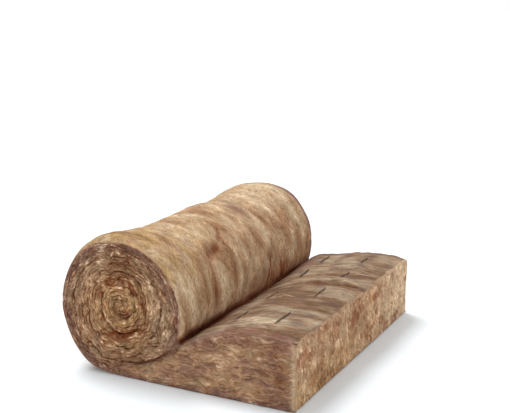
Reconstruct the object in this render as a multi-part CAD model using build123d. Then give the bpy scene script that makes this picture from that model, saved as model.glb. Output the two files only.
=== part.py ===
# A glass wool insulation blanket, part of it still rolled up and the rest laid out flat.
# All lengths are in millimetres. The blanket's width runs along Y and its length along X. It comes
# out from under the roll towards +X and ends at a straight cut. The origin is on the floor, in the
# middle of the blanket's outline as seen from above.

import os
from math import acos, asin, cos, degrees, pi, sqrt

from build123d import *

# The blanket
blanket_width = 1200.0
laid_length = 715.0  # from the roll's axis to the cut end
crown_height = 258.0  # where the laid part has sprung back the most
crown_setback = 115.0  # from the cut end back to the crown

# The roll
roll_radius = 258.5
nip_height = 158.0  # where the roll parts from the laid stretch, above the floor
turn_pitch = 56.0  # thickness of the blanket while it is rolled up
tightest_bend = 30.0  # the seam between two turns stops before it has a smaller radius
waist_depth = 8.0  # how much smaller the roll's radius is along its middle
waist_length = 500.0  # the even stretch of the slimmer middle
flare_length = 250.0  # from there to where the roll is full again, near its ends

# The soft edges of the wool
rim_round = 16.0  # the roll's rims, and along the floor
shoulder_round = 26.0  # the laid part's long upper edges
edge_round = 12.0  # round the cut end
seam_reach = 20.0  # from the middle of a seam to where the wool beside it is level
seam_depth = 22.0
dish_depth = 10.0  # how far the middle of the roll's ends lies behind their outer turn
overlap = 20.0  # how far a tool stands out of the wool that it shapes

# Places, worked out from the sizes above
roll_x = (roll_radius - laid_length) / 2
cut_x = roll_x + laid_length
crown_x = cut_x - crown_setback
nip_x = roll_x + sqrt(roll_radius**2 - (roll_radius - nip_height) ** 2)
end_y = -blanket_width / 2


def level_arc_radius(across, rise):
    # For an arc that starts level and has climbed by rise once it is across away
    return (across**2 + rise**2) / (2 * rise)


def laid_part():
    # The top is one long arc over the crown. It is carried on into the roll, where the two join.
    top_radius = level_arc_radius(crown_x - nip_x, crown_height - nip_height)
    fall_ahead = degrees(asin(crown_setback / top_radius))
    hidden_height = turn_pitch + shoulder_round
    fall_behind = degrees(acos(1 - (crown_height - hidden_height) / top_radius))
    top_centre = (crown_x, crown_height - top_radius)
    top = CenterArc(top_centre, top_radius, 90 - fall_ahead, fall_ahead + fall_behind)
    tail_x = roll_x - 2 * shoulder_round
    rest = Polyline(top @ 1, (tail_x, turn_pitch), (tail_x, 0), (cut_x, 0), top @ 0)
    section = Plane.XZ * make_face([top.edge(), *rest.edges()])
    laid = extrude(section, blanket_width / 2, both=True)
    laid = fillet(laid.edges().filter_by(GeomType.CIRCLE), shoulder_round)
    along_floor = laid.edges().filter_by_position(Axis.Z, 0, 0).filter_by(Axis.X)
    laid = fillet(along_floor, rim_round)
    cut_edges = laid.edges().filter_by_position(Axis.X, cut_x - 1, cut_x)
    laid = fillet(cut_edges, edge_round)
    return split(laid, Plane.YZ.offset(roll_x), Keep.TOP)


def rolled_part():
    # The soft roll is slimmer along its middle and fuller at both ends. Every section of it rests
    # on the floor.
    full_y = -waist_length / 2 - flare_length
    steps = [step / 5 for step in range(6)]
    flare = [(full_y + flare_length * share, waist_depth * (1 - cos(pi * share)) / 2) for share in steps]
    profile = [(-blanket_width / 2, 0), *flare]
    profile += [(-y, slimmer) for y, slimmer in reversed(profile)]
    rings = []
    for y, slimmer in profile:
        radius = roll_radius - slimmer
        rings.append(Pos(roll_x, y, radius) * Rot(90, 0, 0) * Circle(radius))
    roll = loft(rings, ruled=True)
    ends = roll.faces().sort_by(Axis.Y)
    return fillet([*ends[0].edges(), *ends[-1].edges()], rim_round)


def half_seam():
    # One side of the notch between two turns. X is across the seam, Y into it.
    lip, bottom = (-seam_reach, 0), (0, seam_depth)
    outline = Polyline(bottom, lip, (-seam_reach, -overlap), (0, -overlap), close=True)
    return make_face(outline.edges())


def turned(section, start_height, centre_height, angle):
    # Turns a section that stands above or below the axis of the roll. A positive angle goes from
    # the bottom to the left, seen from the near end.
    place = Plane(origin=(roll_x, end_y, start_height), x_dir=(0, 0, 1), z_dir=(-1, 0, 0))
    axis = Axis((roll_x, end_y, centre_height), (0, 1, 0))
    return revolve(place * section, axis, angle)


def seams():
    # The seam between the turns is a spiral of half circles about two centres by turns. It starts
    # at the nip, runs under the roll and tightens by half a pitch at every half circle.
    section = half_seam() + mirror(half_seam(), about=Plane.YZ)
    under_radius = level_arc_radius(nip_x - roll_x, nip_height - turn_pitch)
    run_out = seam_reach / under_radius
    under_angle = degrees(asin((nip_x - roll_x) / under_radius) + run_out)
    arcs = [turned(section, turn_pitch, turn_pitch + under_radius, -under_angle)]
    radius = roll_radius - turn_pitch
    on_left = True
    while radius > tightest_bend:
        centre = roll_radius if on_left else roll_radius + turn_pitch / 2
        start = centre - radius if on_left else centre + radius
        arcs.append(turned(section, start, centre, 180))
        eye_height = 2 * centre - start
        radius -= turn_pitch / 2
        on_left = not on_left
    arcs.append(turned(half_seam(), eye_height, eye_height, 360))
    return arcs


def dish():
    # The inner turns lie deeper the nearer they are to the middle
    dish_radius = roll_radius - 1.5 * turn_pitch
    ball_radius = level_arc_radius(dish_radius, dish_depth)
    ball_y = end_y + dish_depth - ball_radius
    return Pos(roll_x, ball_y, roll_radius + turn_pitch / 4) * Sphere(ball_radius)


# Both ends of the roll are alike, so one half is shaped and the other mirrors it
near_half = split(laid_part() + rolled_part(), Plane.XZ, Keep.TOP)
near_half -= [*seams(), dish()]
blanket = near_half + mirror(near_half, about=Plane.XZ)

os.makedirs("parts", exist_ok=True)
export_step(blanket, "parts/wool_blanket.step")
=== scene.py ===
import math

import bmesh
import bpy
import numpy as np
from mathutils import Matrix, Vector, noise
from mathutils.bvhtree import BVHTree


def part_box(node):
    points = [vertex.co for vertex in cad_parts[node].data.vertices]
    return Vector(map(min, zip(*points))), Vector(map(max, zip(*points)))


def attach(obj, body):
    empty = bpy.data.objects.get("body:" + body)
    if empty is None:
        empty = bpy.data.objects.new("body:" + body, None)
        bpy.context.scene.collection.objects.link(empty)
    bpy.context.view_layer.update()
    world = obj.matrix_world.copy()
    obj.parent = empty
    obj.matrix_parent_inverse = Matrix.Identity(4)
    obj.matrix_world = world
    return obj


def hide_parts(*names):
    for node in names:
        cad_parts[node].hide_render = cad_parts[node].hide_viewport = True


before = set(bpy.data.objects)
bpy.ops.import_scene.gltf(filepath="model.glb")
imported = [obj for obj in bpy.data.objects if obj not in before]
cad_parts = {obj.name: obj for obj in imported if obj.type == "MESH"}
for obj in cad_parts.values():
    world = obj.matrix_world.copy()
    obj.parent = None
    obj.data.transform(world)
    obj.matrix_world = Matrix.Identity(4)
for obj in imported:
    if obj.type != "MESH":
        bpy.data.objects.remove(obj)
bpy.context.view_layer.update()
print("scene: frame loaded")


def levelArcRadius(across, rise):
    # For an arc that starts level and has climbed by rise once it is across away
    return (across**2 + rise**2) / (2 * rise)


# Places on the blanket, in metres. The outline comes from the frame.
lowCorner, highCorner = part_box("wool_blanket")
rollRadius = highCorner[2] / 2
rollX = lowCorner[0] + rollRadius
cutX = highCorner[0]
halfWidth = highCorner[1]
turnPitch = 0.056  # thickness of the blanket inside the roll
turnCount = 4.5
nipHeight = 0.158  # where the roll parts from the laid stretch
crownHeight = 0.258
crownX = cutX - 0.115
edgeRound = 0.012  # the solid's rounding round the cut end
waistDepth = 0.008  # the roll is this much slimmer along its middle
nipX = rollX + math.sqrt(rollRadius**2 - (rollRadius - nipHeight) ** 2)
topRadius = levelArcRadius(crownX - nipX, crownHeight - nipHeight)
underRadius = levelArcRadius(nipX - rollX, nipHeight - turnPitch)
dice = np.random.default_rng(11)  # for everything that is scattered by chance


def smooth(low, high, value):
    # From 0 at low to 1 at high
    t = np.clip((value - low) / (high - low), 0, 1)
    return t * t * (3 - 2 * t)


def bell(value, middle, width):
    # 1 at the middle, falling off on both sides
    return np.exp(-(((value - middle) / width) ** 2))


def nearLine(x, y, corners):
    # Distance in plan to a line through these corners
    near = np.full(np.shape(x), 1e3)
    for (ax, ay), (bx, by) in zip(corners, corners[1:]):
        share = ((x - ax) * (bx - ax) + (y - ay) * (by - ay)) / ((bx - ax) ** 2 + (by - ay) ** 2)
        share = np.clip(share, 0, 1)
        near = np.minimum(near, np.hypot(x - ax - share * (bx - ax), y - ay - share * (by - ay)))
    return near


def noiseAt(x, y, z, size, seed):
    # Soft noise from -1 to 1 with features of this size, given as one number or as one for each axis
    spots = np.stack([x, y, z], -1).reshape(-1, 3) / np.asarray(size, float) + 17.31 * (seed + 1)
    return np.array([noise.noise(Vector(p)) for p in spots]).reshape(np.shape(x)) * 1.4


def faceNoise(along, across, size, seed):
    # The same over a face, with one size or one along it and one across it
    along, across = np.broadcast_arrays(along, across)
    return noiseAt(along, across, 0 * along, (*np.broadcast_to(size, 2), 1), seed)


def linearColour(hexText):
    channels = [int(hexText[i : i + 2], 16) / 255 for i in (1, 3, 5)]
    return [c / 12.92 if c <= 0.04045 else ((c + 0.055) / 1.055) ** 2.4 for c in channels]


def topArc(x):
    # The arc over the laid part's crown, carried on behind the nip
    return crownHeight - topRadius + np.sqrt(np.maximum(topRadius**2 - (x - crownX) ** 2, 1e-4))


def laidHeight(x):
    # The laid part's top: under the roll it follows the seam, then one long arc over the crown
    under = turnPitch + underRadius - np.sqrt(np.maximum(underRadius**2 - (x - rollX) ** 2, 1e-4))
    return np.where(x < nipX, np.minimum(under, nipHeight), topArc(x))


def nearNip(x, y, z):
    # How far a point is from the crevice between the roll and the laid part. The two surfaces
    # cross again farther back, where it doesn't count.
    radius = rollRadius - waistDepth * smooth(0.50, 0.25, np.abs(y))
    toRoll = np.hypot(x - rollX, z - radius) - radius
    elsewhere = np.abs(x - nipX) > 0.09
    return np.hypot(toRoll, z - topArc(x)) + 0.1 * elsewhere


def outerReach(around):
    # On the roll's right side, from the centre of the right half circles to the outer turn's outside
    half = turnPitch / 2
    drop = turnPitch + underRadius - rollRadius - half
    toRoll = half * np.cos(around) + np.sqrt(rollRadius**2 - (half * np.sin(around)) ** 2)
    toSeam = -drop * np.cos(around) + np.sqrt(underRadius**2 - (drop * np.sin(around)) ** 2)
    return np.minimum(toRoll, toSeam)


def turnReach(turn):
    # Turn counts inwards, from the roll's underside round by the left and the top. The turns are
    # half circles about two centres. Gives a turn's angle, its centre's height and its two radii.
    whole = np.floor(turn)
    around = (turn - whole) * 2 * np.pi
    onRight = around > np.pi
    centre = rollRadius + onRight * turnPitch / 2
    outer = rollRadius - onRight * turnPitch / 2 - whole * turnPitch
    inner = np.maximum(outer - turnPitch, 0.0015)
    outer = np.where(onRight & (whole == 0), outerReach(around), outer)
    return around, centre, outer, inner


def spiralPoint(turn, depth):
    # Depth goes from 0 to 1 through the blanket
    around, centre, outer, inner = turnReach(turn)
    reach = outer - depth * (outer - inner)
    return rollX - reach * np.sin(around), centre - reach * np.cos(around)


# The length of the rolled-up blanket from the roll's underside to each turn
turnSteps = np.linspace(0, turnCount, 3000)
turnPoints = np.stack(spiralPoint(turnSteps, 0.5), -1)
turnLengths = np.concatenate([[0], np.cumsum(np.linalg.norm(np.diff(turnPoints, axis=0), axis=1))])


def blanketPlace(x, z):
    # The turn and the depth at a point of the blanket's edge, and the thickness of the blanket there
    onRight = x > rollX
    centre = rollRadius + onRight * turnPitch / 2
    reach = np.hypot(x - rollX, z - centre)
    around = np.arctan2(np.abs(x - rollX), centre - z)
    around = np.where(onRight, 2 * np.pi - around, around)
    outside = rollRadius - onRight * turnPitch / 2
    turns = (outside - reach) / turnPitch
    whole = np.maximum(np.floor(turns), 0)
    outer = outerReach(around)
    inner = outside - turnPitch
    first = onRight & (whole == 0)
    depth = np.where(first, (outer - reach) / (outer - inner), turns - whole)
    thick = np.where(first, outer - inner, turnPitch)
    height = laidHeight(x)
    rolledReach = np.hypot(x - rollX, z - rollRadius)
    laid = onRight & ((depth < 0) | (rolledReach > rollRadius + 0.015)) & (z < height + 0.04)
    laid &= (z < nipHeight) | (x > nipX)
    turn = np.where(laid, rollX - x, whole + around / (2 * np.pi))
    depth = np.where(laid, z / height, depth)
    thick = np.where(laid, height, thick)
    return turn, np.clip(depth, 0, 1), thick, laid


# Colours of brown glass wool, from the painted shade between the layers to the bleached tips
woolColours = dict(
    # gap: painted shade in seams, partings, creases and the nip's crevice, and the colour of a few dark
    # strands
    gap="#55260f",
    redBrown="#7a4225",
    mauve="#86655a",
    brown="#8f6c50",
    tan="#ab8768",
    golden="#b29264",
    greyTan="#bba284",
    cream="#d8c2a4",
)
wool = {key: np.array(linearColour(value)) for key, value in woolColours.items()}

# Sizes of the patches of colour, in metres, as one number or along X, Y and Z
patchSizes = dict(
    drift=0.16,  # the broadest changes
    spots=0.055,
    roll=(0.13, 0.05, 0.13),  # round the roll
    lowPatches=(0.3, 0.07, 0.12),  # brown, towards the floor
    marks=(0.06, 0.014, 0.06),
    specks=0.014,  # on the roll's ends
    swathes=(0.20, 0.05, 0.2),  # along the laid top
    curls=(0.06, 0.014, 0.014),  # along its two long edges
    tufts=(0.05, 0.012, 0.05),
    rollStreaks=(0.065, 0.030, 0.065),
    topStreaks=(0.13, 0.026, 0.3),
)

# Two lines seen from above: a fold on the roll, over its front, and a crease along the laid top
foldLine = ((-0.095, -0.080), (-0.070, -0.115), (-0.042, -0.174), (-0.036, -0.265))
creaseLine = ((0.182, 0.114), (0.24, 0.082), (0.333, 0.066), (0.39, 0.074), (0.445, 0.080))

# Red marks on the roll's front
rollMarks = (
    dict(y=-0.31, z=0.30, wide=0.022, tall=0.10),
    dict(y=-0.127, z=0.33, wide=0.016, tall=0.06),
    dict(y=0.182, z=0.27, wide=0.040, tall=0.09),
    dict(y=0.30, z=0.24, wide=0.030, tall=0.08),
)
markLean = 0.15  # how much farther along the width a mark is for each metre up


def tinted(base, key, amount):
    # Draws a colour towards one of the wool's colours
    return base + (wool[key] - base) * np.clip(amount, 0, 1)[..., None]


def layered(base, layers, region=1):
    # Draws a colour towards several of the wool's colours in turn, in a region or everywhere
    for key, amount in layers:
        base = tinted(base, key, region * amount)
    return base


def relit(base, change):
    # Makes a colour lighter or darker by this share
    return base * (1 + change)[..., None]


def redMarks(x, y, z, patches):
    # The red marks, and the redder wool over the crevice on its far half
    share = 0
    for mark in rollMarks:
        middle = mark["y"] + markLean * (z - mark["z"])
        share = share + bell(y, middle, mark["wide"]) * bell(z, mark["z"], mark["tall"])
    share = share * (0.7 + 0.9 * noiseAt(x, y, z, patchSizes["marks"], 39)) * (x > rollX)
    return share + (0.7 + 0.5 * patches) * smooth(0.12, 0.03, nearNip(x, y, z)) * smooth(-0.35, 0.15, y)


def tintRoll(colour, rolled, x, y, z, drift, spots):
    # The roll's outside: cream and golden patches above, browner and redder towards the floor
    height = (z - rollRadius) / rollRadius
    patches = noiseAt(x, y, z, patchSizes["roll"], 33)
    colour = tinted(colour, "greyTan", rolled * (0.5 + patches))
    colour = tinted(colour, "cream", rolled * smooth(0.15, 0.7, patches) * 0.45)
    colour = relit(colour, 0.07 * rolled)
    # Golden towards the top of the roll's near half
    upperNear = smooth(0.15, -0.5, y) * smooth(-0.3, 0.9, height)
    lowPatches = smooth(0.40, -0.10, height) * smooth(0.05, 0.5, noiseAt(x, y, z, patchSizes["lowPatches"], 34))
    fold = bell(nearLine(x, y, foldLine), 0, 0.013) * (z > 0.3)
    # A mauve patch of painted shade on the roll's top
    shadePatch = bell(x, -0.146, 0.05) * bell(y, 0.17, 0.035) * (z > 0.3)
    layers = (
        ("golden", upperNear * (0.35 + 0.7 * spots)),
        ("brown", smooth(0.0, -0.55, height) * (0.45 + 0.5 * drift)),
        ("brown", smooth(0.15, 0.6, -patches) * 0.5),
        ("brown", lowPatches * 0.5),
        ("redBrown", redMarks(x, y, z, patches) * 0.75),
        ("mauve", smooth(0.555, 0.585, y + 0.012 * spots)),
        ("redBrown", smooth(0.575, 0.60, y) * 0.5),
        # Painted shade along the fold's dent, in red brown
        ("redBrown", fold * (0.75 + 0.6 * spots)),
        ("mauve", shadePatch * 0.8),
    )
    return layered(colour, layers, rolled)


def tintTurns(colour, turned, x, y, z, drift, spots):
    # The roll's ends: a mauve outer band, golden brown towards the middle and a pale core
    height = (z - rollRadius) / rollRadius
    inwards = rollRadius - np.hypot(x - rollX, z - rollRadius)
    specks = noiseAt(x, y, z, patchSizes["specks"], 40)
    beside = smooth(0.03, 0.16, np.abs(x - rollX - 0.02)) * smooth(0.15, 0.10, inwards)
    rings = bell(inwards + 0.02 * drift, 0.163, 0.024) + 0.6 * bell(inwards, 0.225, 0.018)
    band = smooth(0.050, 0.026, inwards + 0.014 * drift + 0.008 * spots)
    layers = (
        ("brown", 0.35 + 0.5 * drift),
        ("golden", smooth(0.08, 0.15, inwards) * 0.35),
        ("greyTan", beside * (0.25 + 0.5 * drift)),
        ("redBrown", rings * smooth(-0.35, 0.35, spots + 0.5 * specks)),
        ("golden", bell(inwards, 0.20, 0.02) * 0.4),
        ("redBrown", smooth(0.25, 0.7, specks) * 0.5),
        ("mauve", band * (0.7 + 0.3 * drift)),
    )
    colour = layered(colour, layers, turned)
    return relit(colour, -0.14 * turned * smooth(0.10, 0.03, inwards) * smooth(0.2, 0.8, height))


def tintTop(colour, top, x, y, z, spots):
    # The laid part's top: greyish, brown near the roll, with mauve along its two long edges
    swathes = noiseAt(x, y, z, patchSizes["swathes"], 35)
    layers = (
        ("greyTan", 0.35 + 1.2 * swathes),
        ("brown", smooth(0.17, 0.02, x) * 0.6),
        ("brown", smooth(0.05, 0.5, -swathes)),
        ("mauve", smooth(0.0, 0.6, spots) * 0.5),
    )
    colour = layered(colour, layers, top)
    dulled = np.array([0.30, 0.25, 0.19])  # how much red, green and blue it loses
    colour = colour * (1 - dulled * top[..., None])
    border = smooth(0.50, 0.575, np.abs(y) + 0.04 * spots) * smooth(0.06, 0.16, x) * np.where(y < 0, 1, 0.4)
    curls = noiseAt(x, y, z, patchSizes["curls"], 41)
    tufts = bell(y, -0.44, 0.045) * bell(x, 0.265, 0.10) + bell(y, 0.105, 0.018) * bell(x, 0.32, 0.09)
    tufts = tufts * (0.5 + 0.8 * noiseAt(x, y, z, patchSizes["tufts"], 36))
    crease = bell(nearLine(x, y, creaseLine), 0, 0.0065)
    layers = (
        ("mauve", border * (0.6 + 0.6 * curls)),
        ("redBrown", border * smooth(0.0, 0.5, -curls) * 0.7),
        ("cream", tufts * 0.8),
        # Painted shade in the crease, in red brown and the dark gap colour
        ("redBrown", crease * 0.85),
        ("gap", crease * 0.55),
        ("mauve", bell(y, 0.40, 0.10) * bell(x, 0.07, 0.045)),
    )
    return layered(colour, layers, top)


def tintFlank(colour, flank, x, y, z, depth, drift, spots):
    # The laid part's long edges: mauve above and along the floor, scorched near the cut end
    scorched = bell(x, 0.415, 0.035) * (bell(z, 0.175, 0.028) + bell(z, 0.10, 0.028)) * (y < 0)
    pale = bell(z, 0.19, 0.03) * smooth(0.35, 0.1, x)
    layers = (
        ("brown", 0.25 + 0.6 * drift),
        ("redBrown", smooth(0.78, 0.97, depth + 0.06 * spots) * 0.4),
        ("mauve", smooth(0.84, 0.97, depth + 0.05 * spots) * 0.6),
        ("mauve", smooth(0.028, 0.008, z + 0.01 * spots) * 0.8),
        ("brown", scorched * (0.8 + 0.6 * spots)),
        ("redBrown", scorched * (0.3 + 0.6 * spots)),
        ("greyTan", smooth(0.455, 0.475, x) * 0.9),
        ("greyTan", pale * (0.3 + 0.6 * drift)),
    )
    return layered(colour, layers, flank)


def tintCutEnd(colour, cut, y, z, spots):
    # The cut end: golden at the near end and bleached at the far one, with a thin red line of painted shade
    # along a flap's edge
    # Painted shade: a thin dark red line along a flap's edge
    flapShade = bell(y + 0.545 - 1.6 * (z - 0.09) ** 2, 0, 0.006) * smooth(0.01, 0.04, z) * smooth(0.19, 0.14, z)
    layers = (
        ("greyTan", 0.25),
        ("greyTan", smooth(-0.53, -0.56, y) * 0.6),
        ("redBrown", flapShade),
        ("golden", smooth(0.3, -0.4, y) * smooth(0.18, 0.04, z) * 0.5),
        ("redBrown", bell(z, 0.17, 0.05) * smooth(-0.1, 0.5, spots) * 0.35),
        ("cream", smooth(0.1, 0.50, y) * 0.6),
    )
    return layered(colour, layers, cut)


def tintNip(colour, outside, x, y, z, spots):
    # Painted shade and light at the nip: the crevice is painted thin and dark, and the wool on both sides of
    # it is painted lighter, as if it still catches light
    width = 0.0135 + 0.006 * smooth(0.1, -0.5, y) + 0.004 * spots
    near = nearNip(x, y, z)
    crevice = smooth(1.0, 0.55, near / width) * outside
    # Painted light: the wool on both sides of the crevice is made lighter
    colour = relit(colour, 0.30 * smooth(0.09, 0.02, near) * outside)
    # Painted shade: the crevice and the wool close by are drawn to red brown and the dark gap colour, and
    # darkened
    colour = tinted(colour, "redBrown", smooth(2.3, 0.9, near / width) * outside * 0.9)
    colour = tinted(colour, "gap", smooth(1.5, 0.8, near / width) * outside * 0.3)
    return relit(tinted(colour, "gap", crevice), -0.20 * crevice)


def regionTint(x, y, z, isEnd):
    # The wool's mean colour at a place, with painted shade in the nip's crevice, the top's crease and the
    # roll's fold and patch, and painted light beside the crevice. The roll's ends and the laid part's edges
    # are cut faces.
    isEnd = np.broadcast_to(isEnd, np.shape(x))
    _, depth, _, laid = blanketPlace(x, z)
    drift = noiseAt(x, y, z, patchSizes["drift"], 31)
    spots = noiseAt(x, y, z, patchSizes["spots"], 32)
    cut = laid & ~isEnd & (x >= cutX - 0.010 + 0.010 * spots)
    rolled = ~laid & ~isEnd
    top = laid & ~isEnd & ~cut
    colour = np.zeros((*np.shape(x), 3)) + wool["tan"]
    colour = tintRoll(colour, rolled, x, y, z, drift, spots)
    colour = tintTurns(colour, ~laid & isEnd, x, y, z, drift, spots)
    colour = tintTop(colour, top, x, y, z, spots)
    colour = tintFlank(colour, laid & isEnd, x, y, z, depth, drift, spots)
    colour = tintCutEnd(colour, cut, y, z, spots)
    streaks = np.where(rolled, noiseAt(x, y, z, patchSizes["rollStreaks"], 37), 0)
    streaks = np.where(top, 1.2 * noiseAt(x, y, z, patchSizes["topStreaks"], 38), streaks)
    colour = colour * np.exp(0.20 * streaks)[..., None]
    return tintNip(colour, ~isEnd, x, y, z, spots)


def wandering(along, across, third, size, amount, seed):
    # The fibres' grain, bent to and fro as on torn wool
    bent = amount * faceNoise(along, across, size, seed)
    shift = 1.5 * amount * faceNoise(along, across, size, seed + 1)
    return np.stack([along + shift, across + bent, 0 * along + third], -1)


def grainOf(x, y, z, isEnd):
    # Where a point lies in the blanket's grain, in metres: along the fibres, across them, and a
    # third number that sets one face apart from another
    turn, depth, thick, laid = blanketPlace(x, z)
    cut = laid & ~isEnd & (x >= cutX - edgeRound)
    along = np.where(laid, turn, np.interp(turn, turnSteps, turnLengths))
    along = np.where(cut, z, along)
    drop = np.where(laid, laidHeight(x) - z, rollRadius - np.hypot(x - rollX, z - rollRadius))
    across = y + halfWidth + np.sign(y) * np.where(cut, 0, drop)
    across = np.where(isEnd, -depth * thick, across)
    across = np.where(isEnd & (y > 0), 2 * halfWidth + depth * thick, across)
    along = along * np.where(laid, 1.2, 2.5)  # the roll's tufts are shorter
    across = across * np.where(laid, 0.9, 1.1)
    return wandering(along, across, cut * 0.3, 0.06, 0.014, 45)


blanketSettings = dict(
    voxel=0.0072,  # edge of a remeshed face
    rimRound=0.040,  # the roll's rims, above
    lowRimRound=0.010,  # and below
    lumpSize=0.17,
    lumpHeight=0.0045,
    clumpSize=(0.09, 0.032, 0.09),  # narrow along the width, long along the fibres
    clumpHeight=0.0036,
    raggedSize=0.03,  # along the laid part's upper edges
    raggedHeight=0.0045,
    seamDepth=0.006,
    seamWidth=0.0060,
    dishDepth=0.012,
    edgeInset=0.004,  # room for the relief of the cut faces
    nipDepth=0.010,  # how far the crevice is pressed in, and how much more near the near end
    nipDeeper=0.008,
)

# Where this blanket is loose: the most that each place stands out or lies in, in metres
swellingSettings = dict(
    nearBack=0.018,  # the roll, at its near end
    nearFoot=0.011,
    farFront=0.013,  # and at its far end
    crest=0.010,  # along its top
    farCrest=0.006,
    crestDip=0.005,
    fold=0.008,
    ripple=0.004,
    besideRoll=0.024,  # the laid part's far end
    crease=0.012,
    ridge=0.009,  # behind the crease
)


def roundRims(places, s):
    # Pulls the upper part of the roll's rims in to a wide soft shoulder
    x, y, z = places.T
    reach = np.hypot(x - rollX, z - rollRadius)
    high = smooth(-0.2, 0.8, (z - rollRadius) / rollRadius) * smooth(0.20, 0.02, x - rollX)
    soft = s["lowRimRound"] + (s["rimRound"] - s["lowRimRound"]) * high
    out = np.maximum(reach - (rollRadius - soft), 0)
    along = np.maximum(np.abs(y) - (halfWidth - soft), 0)
    far = np.hypot(out, along)
    keep = np.where((out > 0) & (along > 0) & (far > soft), soft / np.maximum(far, 1e-6), 1)
    keep = 1 - (1 - keep) * high
    keep = np.where(reach > rollRadius + 0.01, 1, keep)
    newReach = rollRadius - soft + out * keep
    scale = np.where(out > 0, newReach / np.maximum(reach, 1e-6), 1)
    newY = np.where(along > 0, np.sign(y) * (halfWidth - soft + along * keep), y)
    return np.stack([rollX + (x - rollX) * scale, newY, rollRadius + (z - rollRadius) * scale], 1)


def crispCorners(places):
    # The laid part is square along the floor and at its cut end, and soft along its upper edges
    x, y, z = places.T
    top = laidHeight(x)
    low = smooth(0.08, 0.04, z)
    soft = edgeRound + 0.004 * low
    ahead = np.maximum(x - (cutX - edgeRound), 0)
    aside = np.maximum(np.abs(y) - (halfWidth - soft), 0) * np.where(z > 0.15, (ahead > 0), 1)
    above = np.maximum(z - (top - edgeRound), 0) * (np.abs(y) < halfWidth - 0.03) * (ahead > 0)
    below = np.maximum(soft - z, 0)
    reach = np.sqrt(ahead**2 + aside**2 + (above + below) ** 2)
    square = np.maximum((ahead**6 + aside**6 + (above + below) ** 6) ** (1 / 6), 1e-6)
    laid = smooth(rollX - 0.02, rollX + 0.02, x) * np.where(x < nipX, low, 1)
    grow = np.where(reach > 1e-5, reach / square - 1, 0) * laid
    return np.stack([x + ahead * grow, y + np.sign(y) * aside * grow, z + (above - below) * grow], 1)


def swellings(x, y, z, laid, upward, s):
    # How far each place stands out. Angles go round the roll's axis, from its front over its top.
    angle = np.degrees(np.arctan2(z - rollRadius, x - rollX))
    bulge = s["nearBack"] * bell(y, -0.52, 0.11) * bell(angle, 118, 34)
    bulge = bulge + s["farFront"] * bell(y, 0.55, 0.10) * bell(angle, 48, 32)
    crest = s["crest"] * bell(y, -0.12, 0.26) + s["farCrest"] * bell(y, 0.16, 0.08)
    crest = crest - s["crestDip"] * bell(y, 0.38, 0.12)
    bulge = bulge + crest * bell(angle, 100, 40)
    bulge = bulge + s["nearFoot"] * bell(y, -0.60, 0.14) * bell(angle, -122, 20)
    fold = -s["fold"] * bell(nearLine(x, y, foldLine), 0, 0.014)
    ripple = s["ripple"] * np.sin((x + 0.2) / 0.012) * bell(x, -0.20, 0.05) * bell(y, 0.27, 0.05)
    rolled = (bulge + (fold + ripple) * (z > 0.2)) * ~laid
    beside = s["besideRoll"] * smooth(0.1, 0.5, y) * bell(x, nipX + 0.07, 0.075)
    crease = s["crease"] * bell(nearLine(x, y, creaseLine), 0, 0.009)
    ridge = s["ridge"] * bell(y, 0.102, 0.018) * smooth(0.21, 0.27, x) * smooth(0.45, 0.38, x)
    flat = (beside - crease + ridge) * smooth(0.2, 0.8, upward) * laid
    return rolled + flat


def newPiece(name, data):
    piece = bpy.data.objects.new(name, data)
    bpy.context.collection.objects.link(piece)
    return piece


def remeshedCopy(node, name, voxel):
    # The solid's surface in even small faces, which can be moved one by one
    mesh = bpy.data.objects[node].data.copy()
    bm = bmesh.new()
    bm.from_mesh(mesh)
    bmesh.ops.remove_doubles(bm, verts=bm.verts, dist=1e-5)
    bm.to_mesh(mesh)
    bm.free()
    piece = newPiece(name, mesh)
    remesh = piece.modifiers.new("remesh", "REMESH")
    remesh.mode = "VOXEL"
    remesh.voxel_size = voxel
    graph = bpy.context.evaluated_depsgraph_get()
    finished = bpy.data.meshes.new_from_object(piece.evaluated_get(graph))
    piece.modifiers.clear()
    piece.data = finished
    finished.materials.clear()
    return piece


def readVectors(items, key):
    values = np.empty(len(items) * 3)
    items.foreach_get(key, values)
    return values.reshape(-1, 3)


def setWool(mesh, tint, grain, crisp):
    # What the material reads at each point: the colour, the place in the grain, and how crisp the
    # fibres are there
    crisp = np.broadcast_to(crisp, len(mesh.vertices))
    for name, values in (("tint", tint), ("grain", grain), ("crisp", crisp)):
        kind, key = ("FLOAT", "value") if values.ndim == 1 else ("FLOAT_VECTOR", "vector")
        field = mesh.attributes.new(name, kind, "POINT")
        field.data.foreach_set(key, values.astype(np.float32).ravel())


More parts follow.
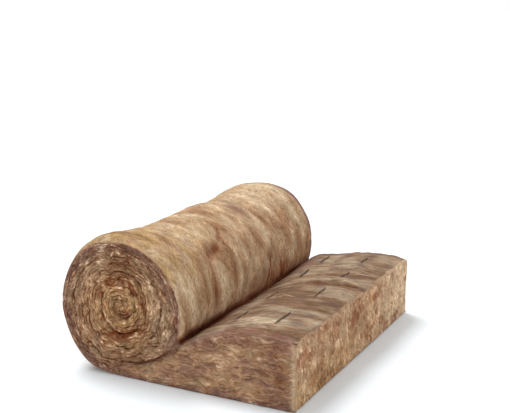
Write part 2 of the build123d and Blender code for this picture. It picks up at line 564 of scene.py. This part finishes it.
def makeBlanket(s):
    piece = remeshedCopy("wool_blanket", "wool_body", s["voxel"])
    mesh = piece.data
    places = readVectors(mesh.vertices, "co")
    facing = readVectors(mesh.vertex_normals, "vector")
    x, y, z = places.T
    turn, depth, thick, laid = blanketPlace(x, z)
    reach = np.hypot(x - rollX, z - rollRadius)

    # The ends of the roll: dished, with the seams between the turns pressed in
    onEnd = smooth(0.004, 0.028, rollRadius - reach) * (np.abs(y) > halfWidth - 0.045) * ~laid
    toSeam = np.minimum(depth, 1 - depth) * thick
    outermost = (turn < 1) & (depth < 0.5)
    seam = bell(toSeam, 0, s["seamWidth"]) * ~outermost
    dish = s["dishDepth"] * (1 - smooth(0.0, 0.22, reach)) + 0.004 * noiseAt(x, y, z, 0.08, 6)
    endY = np.sign(y) * (halfWidth - 2 * s["edgeInset"] - dish - s["seamDepth"] * seam)

    # Lumps, clumps and swellings along the surface's own direction, and none of them on the floor
    places = crispCorners(roundRims(places, s))
    isEdge = laid & ((np.abs(facing[:, 1]) > 0.7) | (facing[:, 0] > 0.7) & (x > cutX - 0.02))
    lumps = s["lumpHeight"] * noiseAt(x, y, z, s["lumpSize"], 11)
    clumps = s["clumpHeight"] * noiseAt(x, y, z, s["clumpSize"], 12) * ~isEdge
    toTop = laidHeight(x) - z
    toRim = np.minimum(np.hypot(cutX - x, toTop), np.hypot(halfWidth - np.abs(y), toTop))
    ragged = s["raggedHeight"] * noiseAt(x, y, z, s["raggedSize"], 13) * smooth(0.035, 0.008, toRim) * laid
    grown = lumps + clumps + swellings(x, y, z, laid, facing[:, 2], swellingSettings) + ragged
    grown = grown * smooth(0.0, 0.03, z) - s["edgeInset"] * isEdge
    places = places + facing * grown[:, None]

    # The crevice is pressed in, back and down. The roll's ends are laid in place last.
    pressed = smooth(0.016, 0.005, nearNip(x, y, z))
    pressed = pressed * (s["nipDepth"] + s["nipDeeper"] * smooth(0.0, -0.5, y))
    places = places + np.array([-0.55, 0, -0.83]) * pressed[:, None]
    places[:, 1] = places[:, 1] * (1 - onEnd) + endY * onEnd
    places[:, 2] = np.maximum(places[:, 2], 0)
    mesh.vertices.foreach_set("co", places.ravel())
    mesh.update()

    share = smooth(0.45, 0.75, np.abs(facing[:, 1]))[:, None]
    tint = regionTint(x, y, z, False) * (1 - share) + regionTint(x, y, z, True) * share
    # Painted shade: the body's ends, seen only where the turns' seams open, are made dark
    tint = tinted(tint, "gap", onEnd * 0.85)
    grain = grainOf(x, y, z, np.abs(facing[:, 1]) > 0.6)
    setWool(mesh, tint, grain, np.where(laid, 0.55, 0.75))
    return piece


def addNode(tree, kind, inputs=None, **settings):
    node = tree.nodes.new("ShaderNode" + kind)
    for key, value in settings.items():
        setattr(node, key, value)
    for key, value in (inputs or {}).items():
        if isinstance(value, bpy.types.NodeSocket):
            tree.links.new(value, node.inputs[key])
        else:
            node.inputs[key].default_value = value
    return node


def dullMaterial(name, roughness, specular):
    mat = bpy.data.materials.new(name)
    mat.use_nodes = True
    shader = mat.node_tree.nodes["Principled BSDF"].inputs
    shader["Roughness"].default_value = roughness
    shader["Specular IOR Level"].default_value = specular
    return mat, mat.node_tree, shader


feltSettings = dict(
    tuftSize=(0.055, 0.0105, 0.02),  # metres, along, across and through the fibres
    fibreSize=(0.022, 0.0040, 0.02),
    fibreShare=0.5,  # how much the fibres show beside the tufts on torn wool
    softForce=0.10,  # how strong the streaks are on a quite soft face
    contrast=(  # what the streaks do to the colour, from the dark between tufts to their tips
        (0.37, (0.46, 0.33, 0.26)),
        (0.45, (0.80, 0.73, 0.68)),
        (0.53, (1.04, 1.04, 1.03)),
        (0.63, (1.50, 1.53, 1.55)),
    ),
    bumpHeight=0.004,
)


def makeWoolMaterial(s):
    # Glass mineral wool, felted with a brown binder: quite dull, and streaked along its fibres.
    # The streaks are tufts of fibre, because a single fibre is far too fine to show.
    mat, tree, shader = dullMaterial("glass_wool_felted", roughness=0.95, specular=0.12)
    grain = addNode(tree, "Attribute", attribute_name="grain").outputs["Vector"]
    tint = addNode(tree, "Attribute", attribute_name="tint").outputs["Color"]
    streaks = []
    for size, detail, twist in ((s["tuftSize"], 3.0, 0.7), (s["fibreSize"], 2.0, 0.4)):
        scale = tuple(1 / length for length in size)
        place = addNode(tree, "Mapping", {"Vector": grain, "Scale": scale}).outputs[0]
        wanted = {"Vector": place, "Scale": 1.0, "Detail": detail, "Roughness": 0.6, "Distortion": twist}
        streaks.append(addNode(tree, "TexNoise", wanted).outputs[0])
    crisp = addNode(tree, "Attribute", attribute_name="crisp").outputs["Fac"]
    share = addNode(tree, "Math", {0: crisp, 1: s["fibreShare"]}, operation="MULTIPLY").outputs[0]
    both = addNode(tree, "Mix", {"Factor": share, "A": streaks[0], "B": streaks[1]}).outputs[0]
    ramp = addNode(tree, "ValToRGB", {"Fac": both})
    while len(ramp.color_ramp.elements) < len(s["contrast"]):
        ramp.color_ramp.elements.new(0.5)
    for element, (spot, colour) in zip(ramp.color_ramp.elements, s["contrast"]):
        element.position = spot
        element.color = (*colour, 1)
    wanted = {"Value": crisp, "To Min": s["softForce"], "To Max": 1.0}
    force = addNode(tree, "MapRange", wanted).outputs[0]
    wanted = {"Factor": force, "A": (1, 1, 1, 1), "B": ramp.outputs[0]}
    light = addNode(tree, "Mix", wanted, data_type="RGBA").outputs["Result"]
    mixed = addNode(tree, "VectorMath", {0: tint, 1: light}, operation="MULTIPLY")
    tree.links.new(mixed.outputs[0], shader["Base Color"])
    bump = addNode(tree, "Bump", {"Height": both, "Strength": 0.7, "Distance": s["bumpHeight"]})
    tree.links.new(bump.outputs[0], shader["Normal"])
    return mat


woolMaterial = makeWoolMaterial(feltSettings)


def finishPiece(piece):
    mesh = piece.data
    mesh.polygons.foreach_set("use_smooth", [True] * len(mesh.polygons))
    mesh.materials.append(woolMaterial)
    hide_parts("wool_blanket")
    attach(piece, "root")
    print("scene:", piece.name, "has", sum(len(p.vertices) - 2 for p in mesh.polygons), "triangles")


body = makeBlanket(blanketSettings)
finishPiece(body)
bodyTree = BVHTree.FromPolygons([v.co for v in body.data.vertices], [p.vertices for p in body.data.polygons])
print("scene: body made")


def ontoBody(paths, outward):
    # Drops points onto the body from a little outside it, and gives the surface direction there
    start, fall = 0.05, 0.14
    flat = paths.reshape(-1, 3)
    away = np.broadcast_to(outward, paths.shape).reshape(-1, 3)
    landed = np.empty_like(flat)
    normals = np.empty_like(flat)
    for i, (spot, out) in enumerate(zip(flat, away)):
        found = bodyTree.ray_cast(Vector(spot + out * start), Vector(-out), fall)
        if found[0] is None:
            found = bodyTree.find_nearest(Vector(spot))
        landed[i], normals[i] = found[:2]
    return landed.reshape(paths.shape), normals.reshape(paths.shape)


def shellMesh(name, columns, rows):
    # A strip with a fine front, a plain back and closed ends. Its points hold their share of the
    # way along the strip, their share of the way across it, and 1 in front or 0 behind.
    around = rows + 3
    bm = bmesh.new()
    bmesh.ops.create_grid(bm, x_segments=columns, y_segments=around, size=0.5)
    for vert in bm.verts:
        angle = 2 * math.pi * round((vert.co.y + 0.5) * around) / around
        vert.co = (vert.co.x + 0.5, math.cos(angle), math.sin(angle))
    bmesh.ops.remove_doubles(bm, verts=bm.verts, dist=1e-6)
    bmesh.ops.holes_fill(bm, edges=[e for e in bm.edges if e.is_boundary], sides=0)
    for vert in bm.verts:
        step = round(math.atan2(vert.co.z, vert.co.y) / (2 * math.pi) * around) % around
        vert.co = (vert.co.x, min(step / rows, 1) if step < rows + 2 else 0, step <= rows)
    mesh = bpy.data.meshes.new(name)
    bm.to_mesh(mesh)
    bm.free()
    return mesh


def woolSheets(along, across, s, seed):
    # Cut wool shows thin wavy sheets that part here and there. Gives the height in metres, how
    # far the sheets part, and a tone that runs along them.
    place = across / s["sheetPitch"]
    place = place + s["wander"] * faceNoise(along, across, (0.085, 0.035), seed)
    place = place + 0.5 * s["wander"] * faceNoise(along, across, (0.026, 0.014), seed + 1)
    sheet = np.floor(place)
    near = np.minimum(place - sheet, sheet + 1 - place)
    line = np.round(place)
    isOpen = smooth(-0.25, 0.45, faceNoise(along, line * 0.31, (0.045, 1), seed + 2))
    parting = isOpen * bell(near, 0, 0.19)
    coarse = s["coarse"]
    tone = 0.5 * faceNoise(along, sheet * 0.37, (0.07, 1), seed + 3)
    tone = tone + 0.5 * faceNoise(along, across, (0.028 * coarse, 0.009 * coarse), seed + 4)
    tone = tone + 0.5 * faceNoise(along, across, (0.014 * coarse, 0.0045 * coarse), seed + 6)
    tufts = faceNoise(along, across, (0.018 * coarse, 0.0075 * coarse), seed + 5)
    height = s["sheetHeight"] * (0.4 * tone - parting) + s["tuftHeight"] * tufts
    return height, parting, tone


def finishShell(name, mesh, places, tint, grain, crisp):
    mesh.vertices.foreach_set("co", places.ravel())
    bm = bmesh.new()
    bm.from_mesh(mesh)
    bmesh.ops.recalc_face_normals(bm, faces=bm.faces)
    bm.to_mesh(mesh)
    bm.free()
    setWool(mesh, tint, grain, crisp)
    finishPiece(newPiece(name, mesh))


def layShell(mesh, spots, out, height, border):
    # Puts the shell's points on the body. It stands proud of it except at its free borders, where
    # it dips in, and its back lies deeper still.
    borderDip, backDepth = 0.0012, 0.014
    front = readVectors(mesh.vertices, "co")[:, 2] > 0.5
    landed, normals = ontoBody(spots, out)
    rise = height * border - borderDip * (1 - border)
    return np.where(front[:, None], landed + normals * rise[:, None], landed - out * backDepth)


turnsSettings = dict(
    columns=1440,
    rows=28,
    rise=0.007,  # how far the sheets stand proud of the body
    sheetPitch=0.0125,
    wander=0.9,
    sheetHeight=0.0036,
    tuftHeight=0.0030,
    coarse=1.0,
    seamWidth=0.0035,
    seamDepth=0.009,
    unevenness=0.004,  # from one turn to the next
    crisp=1.0,
)


def makeTurns(name, side, s):
    # The blanket's edge where it is rolled up, one strip from the roll's underside to its eye
    mesh = shellMesh(name, s["columns"], s["rows"])
    share, depth, _ = readVectors(mesh.vertices, "co").T
    along = share * turnLengths[-1]
    turn = np.interp(along, turnLengths, turnSteps)
    around, _, outer, inner = turnReach(turn)
    x, z = spiralPoint(turn, depth)
    across = depth * (outer - inner)
    seed = 200 if side < 0 else 240
    height, parting, tone = woolSheets(along, across, s, seed)

    # Each turn lies a little higher or lower, and the seam beside it stands open here and there
    toSeam = np.minimum(np.where(turn < 1, 1.0, across), outer - inner - across)
    number = np.floor(turn) + (depth > 0.5) + (around > np.pi) * 0.5
    patchy = noiseAt(x, z, number, (0.07, 0.07, 3), seed + 7)
    ajar = np.clip(0.12 + 0.6 * bell(number, 2.5, 0.5) + 1.2 * patchy, 0, 1)
    seam = ajar * bell(toSeam, 0, s["seamWidth"])
    level = s["unevenness"] * faceNoise(along, np.floor(turn) * 1.7, (0.16, 1), seed + 8)
    height = s["rise"] + height + level - s["seamDepth"] * seam

    # The inner turns aren't quite round
    reach = np.hypot(x - rollX, z - rollRadius)
    loose = smooth(rollRadius - 0.012, rollRadius - 0.05, reach)
    loose = loose * np.where(turn < 1, smooth(0.01, 0.04, across), 1)
    roundX, roundZ = x, z
    for size, shift in ((0.07, 0.008), (0.028, 0.0055)):
        x = x + loose * shift * faceNoise(roundX, roundZ, size, seed + 9)
        z = z + loose * shift * noiseAt(roundX, roundZ, 0 * x + 9, size, seed + 10)
    border = np.where(turn < 1, smooth(0.001, 0.020, across), 1)
    spots = np.stack([x, np.full_like(x, side * halfWidth), z], -1)
    places = layShell(mesh, spots, np.array([0.0, side, 0.0]), height, border)

    inside = smooth(0.215, 0.13, reach)
    tone = np.minimum(tone, 0.9)
    broad = faceNoise(x, z, 0.035, seed + 12)
    tint = regionTint(x, spots[:, 1], z, True)
    layers = (
        ("cream", smooth(0.2, 0.9, tone) * (0.5 + 0.2 * inside)),
        # Painted shade in the partings and open seams: red brown, and the dark gap colour where they are
        # deepest
        ("redBrown", parting * (0.75 + 0.25 * inside)),
        ("redBrown", seam),
        ("gap", seam**2 * 0.6 + parting**2 * 0.3),
    )
    tint = layered(tint, layers)
    tint = tint * np.exp(0.50 * tone + 0.16 * broad - 0.16 + 0.12 * inside)[:, None]
    apart = (side > 0) * 2 * halfWidth
    grain = wandering(2.2 * along, 1.2 * side * across + apart, 0.0, 0.03, 0.006, seed + 20)
    finishShell(name, mesh, places, tint, grain, s["crisp"])


makeTurns("wool_turns_near", -1, turnsSettings)
makeTurns("wool_turns_far", 1, turnsSettings)
print("scene: ends of the roll made")

flankSettings = dict(
    columns=240,
    rows=72,
    rise=0.0022,
    sheetPitch=0.020,
    wander=1.3,
    sheetHeight=0.0044,
    tuftHeight=0.0044,
    coarse=1.6,
    seamWidth=0.005,
    seamDepth=0.006,
    setback=0.010,  # from the cut end
    crisp=0.85,
)


def makeFlank(name, side, s):
    # The blanket's edge where it lies flat
    mesh = shellMesh(name, s["columns"], s["rows"])
    share, depth, _ = readVectors(mesh.vertices, "co").T
    depth = depth * 0.985  # its border stays clear of the rounded upper edge
    x = rollX + share * (cutX - s["setback"] - rollX)
    along = rollX - x
    thick = laidHeight(x)
    across = depth * thick
    seed = 300 if side < 0 else 340
    height, parting, tone = woolSheets(along, across, s, seed)
    underRoll = x < nipX
    border = smooth(0.0, 0.006, across) * np.where(underRoll, 1, smooth(0.985, 0.965, depth))
    border = border * smooth(0.010, 0.022, cutX - x)
    seam = underRoll * bell(thick - across, 0, s["seamWidth"])
    height = s["rise"] + height - s["seamDepth"] * seam
    spots = np.stack([x, np.full_like(x, side * halfWidth), np.maximum(across, 0.001)], -1)
    places = layShell(mesh, spots, np.array([0.0, side, 0.0]), height, border)
    places[:, 2] = np.maximum(places[:, 2], 0.0)

    blotches = faceNoise(along, across, (0.085, 0.034), seed + 13)
    broad = faceNoise(along, across, (0.05, 0.022), seed + 12)
    tint = regionTint(x, spots[:, 1], across, True)
    layers = (
        ("cream", smooth(0.25, 0.95, tone) * 0.6),
        # Painted shade in the partings and in the seam under the roll: red brown, and the dark gap colour
        # where deepest
        ("redBrown", parting * 0.6 + seam * 0.4),
        ("gap", parting**3 * 0.35 + seam**2 * 0.3),
        ("mauve", smooth(0.0, 0.6, blotches) * 0.55),
        ("greyTan", smooth(0.0, 0.6, -blotches) * 0.45),
    )
    tint = layered(tint, layers)
    tint = tint * np.exp(0.30 * tone + 0.20 * broad - 0.09)[:, None]
    apart = (side > 0) * 2 * halfWidth
    grain = wandering(1.1 * along, 0.85 * side * across + apart, 0.0, 0.045, 0.013, seed + 20)
    finishShell(name, mesh, places, tint, grain, s["crisp"])


makeFlank("wool_edge_near", -1, flankSettings)
makeFlank("wool_edge_far", 1, flankSettings)

cutSettings = dict(
    columns=345,
    rows=70,
    rise=0.0022,
    sheetPitch=0.020,
    wander=1.2,
    sheetHeight=0.0040,
    tuftHeight=0.0046,
    coarse=1.6,
    lean=0.25,  # the tufts lean towards the near end by this much of their height
    setback=0.013,  # from the long edges
    topSetback=0.004,
    topWobble=0.004,
    crisp=0.75,
)


def makeCutEnd(s):
    # The cut end: the sheets are torn across and hang in upright tufts
    mesh = shellMesh("wool_cut_end", s["columns"], s["rows"])
    share, up, _ = readVectors(mesh.vertices, "co").T
    y = (2 * share - 1) * (halfWidth - s["setback"])
    tall = float(laidHeight(cutX)) - s["topSetback"] + s["topWobble"] * faceNoise(y, 0, 0.035, 411)
    z = 0.001 + up * (tall - 0.001)
    height, parting, tone = woolSheets(z, y + s["lean"] * z, s, 400)
    border = smooth(0.013, 0.024, halfWidth - np.abs(y)) * smooth(0.0, 0.014, z) * smooth(1.0, 0.98, up)
    spots = np.stack([np.full_like(y, cutX), y, z], -1)
    places = layShell(mesh, spots, np.array([1.0, 0.0, 0.0]), s["rise"] + height, border)
    places[:, 2] = np.maximum(places[:, 2], 0.0)

    blotches = faceNoise(y, z, (0.07, 0.045), 410)
    broad = faceNoise(y, z, (0.09, 0.08), 412)
    tint = regionTint(spots[:, 0], y, z, False)
    layers = (
        ("cream", smooth(0.25, 0.95, tone) * 0.6),
        ("redBrown", smooth(0.05, 0.6, blotches) * 0.55),
        ("greyTan", smooth(0.1, 0.6, -blotches) * 0.6),
        ("mauve", smooth(0.014, 0.005, z) * 0.9),
        # Painted shade in the partings, in red brown
        ("redBrown", parting * 0.5),
    )
    tint = layered(tint, layers)
    tint = tint * np.exp(0.27 * tone + 0.18 * broad + 0.10)[:, None]
    grain = wandering(1.9 * z, 0.75 * (y + s["lean"] * z), 0.3, 0.04, 0.014, 420)
    finishShell("wool_cut_end", mesh, places, tint, grain, s["crisp"])


makeCutEnd(cutSettings)
print("scene: cut faces made")


def strandTemplate(rings):
    # One three-sided strand standing on end, closed at both ends. Its z counts the rings.
    bm = bmesh.new()
    bmesh.ops.create_circle(bm, segments=3, radius=1)
    bmesh.ops.contextual_create(bm, geom=bm.edges[:])
    edges = bm.edges[:]
    for ring in range(1, rings):
        grown = bmesh.ops.extrude_edge_only(bm, edges=edges)["geom"]
        verts = [g for g in grown if isinstance(g, bmesh.types.BMVert)]
        edges = [g for g in grown if isinstance(g, bmesh.types.BMEdge) and all(v in verts for v in g.verts)]
        bmesh.ops.translate(bm, vec=(0, 0, 1), verts=verts)
    bmesh.ops.contextual_create(bm, geom=edges)
    bmesh.ops.triangulate(bm, faces=bm.faces[:])
    bmesh.ops.recalc_face_normals(bm, faces=bm.faces[:])
    bm.verts.index_update()
    spots = np.array([v.co[:] for v in bm.verts])
    faces = np.array([[v.index for v in f.verts] for f in bm.faces])
    bm.free()
    return spots, faces


def isSound(paths, normals, out, stretch=1.7):
    # Leaves out a strand that has bridged a gap or slid over an edge
    steps = np.linalg.norm(np.diff(paths, axis=1), axis=-1)
    even = steps.max(axis=1) < stretch * np.median(steps, axis=1) + 0.001
    facing = np.sum(normals * out, axis=-1).min(axis=1)
    return even & (facing > 0.30)


def unit(vectors):
    return vectors / np.maximum(np.linalg.norm(vectors, axis=-1, keepdims=True), 1e-9)


def layStrands(name, paths, normals, widths, tints, flatness):
    # One joined mesh of strands that follow these paths and taper at both ends
    count, rings = paths.shape[:2]
    spots, faces = strandTemplate(rings)
    ring = np.round(spots[:, 2]).astype(int)
    along = unit(np.gradient(paths, axis=1))
    up = unit(normals - along * np.sum(normals * along, -1, keepdims=True))
    across = np.cross(up, along)
    share = np.arange(rings) / (rings - 1)
    taper = np.sqrt(np.clip(np.sin(np.pi * (0.02 + 0.96 * share)), 0.02, 1))
    half = widths[:, None] / 2 * taper
    verts = paths[:, ring] + across[:, ring] * (half[:, ring] * spots[:, 0])[..., None]
    verts = verts + up[:, ring] * (half[:, ring] * spots[:, 1] * flatness)[..., None]
    verts[..., 2] = np.maximum(verts[..., 2], 0.0005)
    allFaces = (faces[None] + np.arange(count)[:, None, None] * len(spots)).reshape(-1, 3)
    mesh = bpy.data.meshes.new(name)
    mesh.from_pydata(verts.reshape(-1, 3), [], allFaces)
    length = np.linalg.norm(paths[:, -1] - paths[:, 0], axis=-1)
    grain = np.repeat(dice.uniform(0, 20, (count, 3)), len(spots), axis=0)  # each strand has its own
    grain[:, 0] += (length[:, None] * share[ring]).ravel()
    grain[:, 1] += (half[:, ring] * spots[:, 0]).ravel()
    setWool(mesh, np.repeat(tints, len(spots), axis=0), grain, 0.7)
    finishPiece(newPiece(name, mesh))


def strandTints(places, s):
    # A strand's colour is its place's, some bleached and some dark
    count = len(places)
    tint = regionTint(*places.T, False)
    tint = tinted(tint, "cream", (dice.random(count) < s["pale"]) * dice.uniform(0.3, 0.9, count))
    tint = tinted(tint, "gap", (dice.random(count) < s["dark"]) * dice.uniform(0.3, 0.8, count))
    return tint * np.exp(dice.normal(0, s["spread"], count))[:, None]


def finishStrands(name, paths, normals, out, s):
    # Lifts the strands off the body, arched so that their ends are tucked in, but not at the nip
    atNip = nearNip(*np.moveaxis(paths, -1, 0)).min(axis=1) < s["nipRoom"]
    keep = isSound(paths, normals, out) & ~atNip
    paths, normals = paths[keep], normals[keep]
    count, rings = paths.shape[:2]
    arch = np.sin(np.pi * np.linspace(0, 1, rings))
    lift = dice.uniform(*s["lift"], count)[:, None] + s["arch"] * (arch - 1)
    paths = paths + normals * lift[..., None]
    widths = dice.uniform(*s["width"], count)
    tints = strandTints(paths[:, rings // 2], s)
    layStrands(name, paths, normals, widths, tints, s["flatness"])


rollSettings = dict(
    strands=700,
    rings=7,
    length=(0.03, 0.07),
    width=(0.005, 0.010),
    flatness=0.28,
    lift=(-0.0028, 0.0002),  # from the body to a strand's middle
    arch=0.002,  # how much lower its ends are
    span=(-16, 245),  # degrees round the roll, from its front over its top
    within=0.58,  # how far from the middle a strand's own middle is at most
    setback=0.012,  # from the roll's ends
    nipRoom=0.022,
    spread=0.08,  # how much the strands' colours differ
    pale=0.05,  # the share of bleached strands, and of dark ones
    dark=0.01,
)


def makeRollStrands(s):
    count, rings = s["strands"], s["rings"]
    length = dice.uniform(*s["length"], count)
    start = dice.uniform(*np.radians(s["span"]), count)
    angle = start[:, None] + length[:, None] / rollRadius * np.linspace(0, 1, rings)
    y = dice.uniform(-s["within"], s["within"], count)
    slant = dice.normal(0.0, 0.10, count)
    sway = 0.006 * faceNoise(angle * 4, y[:, None] * 30, 1, 51)
    y = y[:, None] + (slant * length)[:, None] * np.linspace(-0.5, 0.5, rings) + sway
    widest = halfWidth - s["setback"]
    out = np.stack([np.cos(angle), np.zeros_like(angle), np.sin(angle)], -1)
    paths = out * rollRadius + np.array([rollX, 0, rollRadius])
    paths[..., 1] = np.clip(y, -widest, widest)
    paths, normals = ontoBody(paths, out)
    finishStrands("wool_roll_fibres", paths, normals, out, s)


makeRollStrands(rollSettings)
print("scene: roll fibres laid")

topSettings = dict(
    strands=450,
    rings=7,
    length=(0.05, 0.13),
    width=(0.006, 0.014),
    flatness=0.28,
    lift=(-0.0028, 0.0006),
    arch=0.002,
    within=0.585,
    setback=0.010,  # from the long edges
    nipRoom=0.022,
    spread=0.08,
    pale=0.08,
    dark=0.02,
)


def makeTopStrands(s):
    count, rings = s["strands"], s["rings"]
    length = dice.uniform(*s["length"], count)
    start = dice.uniform(nipX + 0.012, cutX - 0.03, count)
    last = cutX - 0.004 - 0.0001 * np.arange(rings, 0, -1)  # a strand stops short of the cut end
    x = np.minimum(start[:, None] + length[:, None] * np.linspace(0, 1, rings), last)
    y = dice.uniform(-s["within"], s["within"], count)
    sway = 0.012 * faceNoise(x * 8, y[:, None] * 12, 1, 61)
    slant = dice.normal(0, 0.12, count)
    y = y[:, None] + sway + (slant * length)[:, None] * np.linspace(-0.5, 0.5, rings)
    widest = halfWidth - s["setback"]
    out = np.array([0.0, 0.0, 1.0])
    paths, normals = ontoBody(np.stack([x, np.clip(y, -widest, widest), laidHeight(x)], -1), out)
    finishStrands("wool_top_fibres", paths, normals, out, s)


makeTopStrands(topSettings)
print("scene: top fibres laid")

# Where the wool is meant to be torn into narrower rolls, two rows of dark dashes cross the top
dashSettings = dict(
    rows=(
        dict(x=0.147, middles=(-0.343, -0.062, 0.245, 0.465), lengths=(0.13, 0.16, 0.10, 0.10)),
        dict(x=0.338, middles=(-0.390, -0.050, 0.216, 0.440), lengths=(0.145, 0.115, 0.10, 0.09)),
    ),
    strands=2,  # in each dash
    rings=10,
    width=(0.008, 0.010),
    flatness=0.12,
    lift=0.0042,
    scatter=0.0012,
    sway=0.002,
    colour="#75675a",
)


def makeDashes(s):
    share = np.linspace(-0.5, 0.5, s["rings"])
    paths = []
    for row in s["rows"]:
        for middle, length in zip(row["middles"], row["lengths"]):
            for strand in range(s["strands"]):
                x = row["x"] + s["scatter"] * dice.normal()
                x = x + s["sway"] * faceNoise(share * 2, middle, 1, 91)
                paths.append(np.stack([x, middle + length * share, laidHeight(x)], -1))
    paths, normals = ontoBody(np.array(paths), np.array([0.0, 0.0, 1.0]))
    paths = paths + normals * s["lift"]
    widths = dice.uniform(*s["width"], len(paths))
    tints = np.tile(np.array(linearColour(s["colour"])), (len(paths), 1))
    layStrands("wool_tear_marks", paths, normals, widths, tints, s["flatness"])


makeDashes(dashSettings)
print("scene: tear marks made")

# Studio: a white floor, soft light from the upper left and behind, and the photograph's camera
studioSettings = dict(
    floorSize=30.0,
    paperLit=(0.85, 0.85, 0.85),  # for the light that it throws back on the wool
    paperSeen=(0.91, 0.965, 1.0),  # for the camera, so that it comes out white
    keyStrength=2.2,
    keyAngle=30.0,
    keyFrom=(-0.50, 0.22, 1.0),
    frontStrength=1.1,
    frontAngle=90.0,
    frontFrom=(0.9, -1.0, 0.55),
    ambient=0.53,
)


def makeFloor(s):
    mesh = bpy.data.meshes.new("floor")
    bm = bmesh.new()
    bmesh.ops.create_grid(bm, x_segments=1, y_segments=1, size=s["floorSize"])
    bm.to_mesh(mesh)
    bm.free()
    floor = newPiece("floor", mesh)
    mat, tree, shader = dullMaterial("studio_paper", roughness=1.0, specular=0.0)
    rays = addNode(tree, "LightPath").outputs
    seen = rays["Is Camera Ray"]
    for kind in ("Is Glossy Ray", "Is Transmission Ray"):
        seen = addNode(tree, "Math", {0: seen, 1: rays[kind]}, operation="MAXIMUM").outputs[0]
    wanted = {"Factor": seen, "A": (*s["paperLit"], 1), "B": (*s["paperSeen"], 1)}
    mix = addNode(tree, "Mix", wanted, data_type="RGBA")
    tree.links.new(mix.outputs["Result"], shader["Base Color"])
    mesh.materials.append(mat)


def makeLights(s):
    world = bpy.data.worlds.new("studio")
    bpy.context.scene.world = world
    world.use_nodes = True
    tree = world.node_tree
    background = tree.nodes["Background"]
    rays = addNode(tree, "LightPath").outputs
    wanted = {"Factor": rays["Is Camera Ray"], "A": s["ambient"], "B": 1.0}
    mix = addNode(tree, "Mix", wanted, data_type="FLOAT")
    tree.links.new(mix.outputs["Result"], background.inputs["Strength"])
    background.inputs["Color"].default_value = (1, 1, 1, 1)
    for name in ("key", "front"):
        lamp = bpy.data.lights.new(name, "SUN")
        lamp.energy = s[name + "Strength"]
        lamp.angle = math.radians(s[name + "Angle"])
        towards = Vector(s[name + "From"])
        newPiece(name, lamp).rotation_euler = towards.to_track_quat("Z", "Y").to_euler()


cameraSettings = dict(
    lens=73.606,  # mm on a 36 mm sensor
    place=(1.8150, -3.6337, 1.5102),  # metres
    azimuth=26.169,  # degrees
    elevation=13.294,
    roll=0.588,
)


def makeCamera(s):
    data = bpy.data.cameras.new("camera")
    data.lens = s["lens"]
    data.sensor_width = 36
    camera = newPiece("camera", data)
    turn = Matrix.Rotation(math.radians(s["azimuth"]), 4, "Z")
    tilt = Matrix.Rotation(math.radians(90 - s["elevation"]), 4, "X")
    roll = Matrix.Rotation(math.radians(s["roll"]), 4, "Z")
    camera.matrix_world = Matrix.Translation(s["place"]) @ turn @ tilt @ roll
    bpy.context.scene.camera = camera


makeFloor(studioSettings)
makeLights(studioSettings)
makeCamera(cameraSettings)
bpy.context.scene.view_settings.view_transform = "Standard"
print("scene: studio ready")
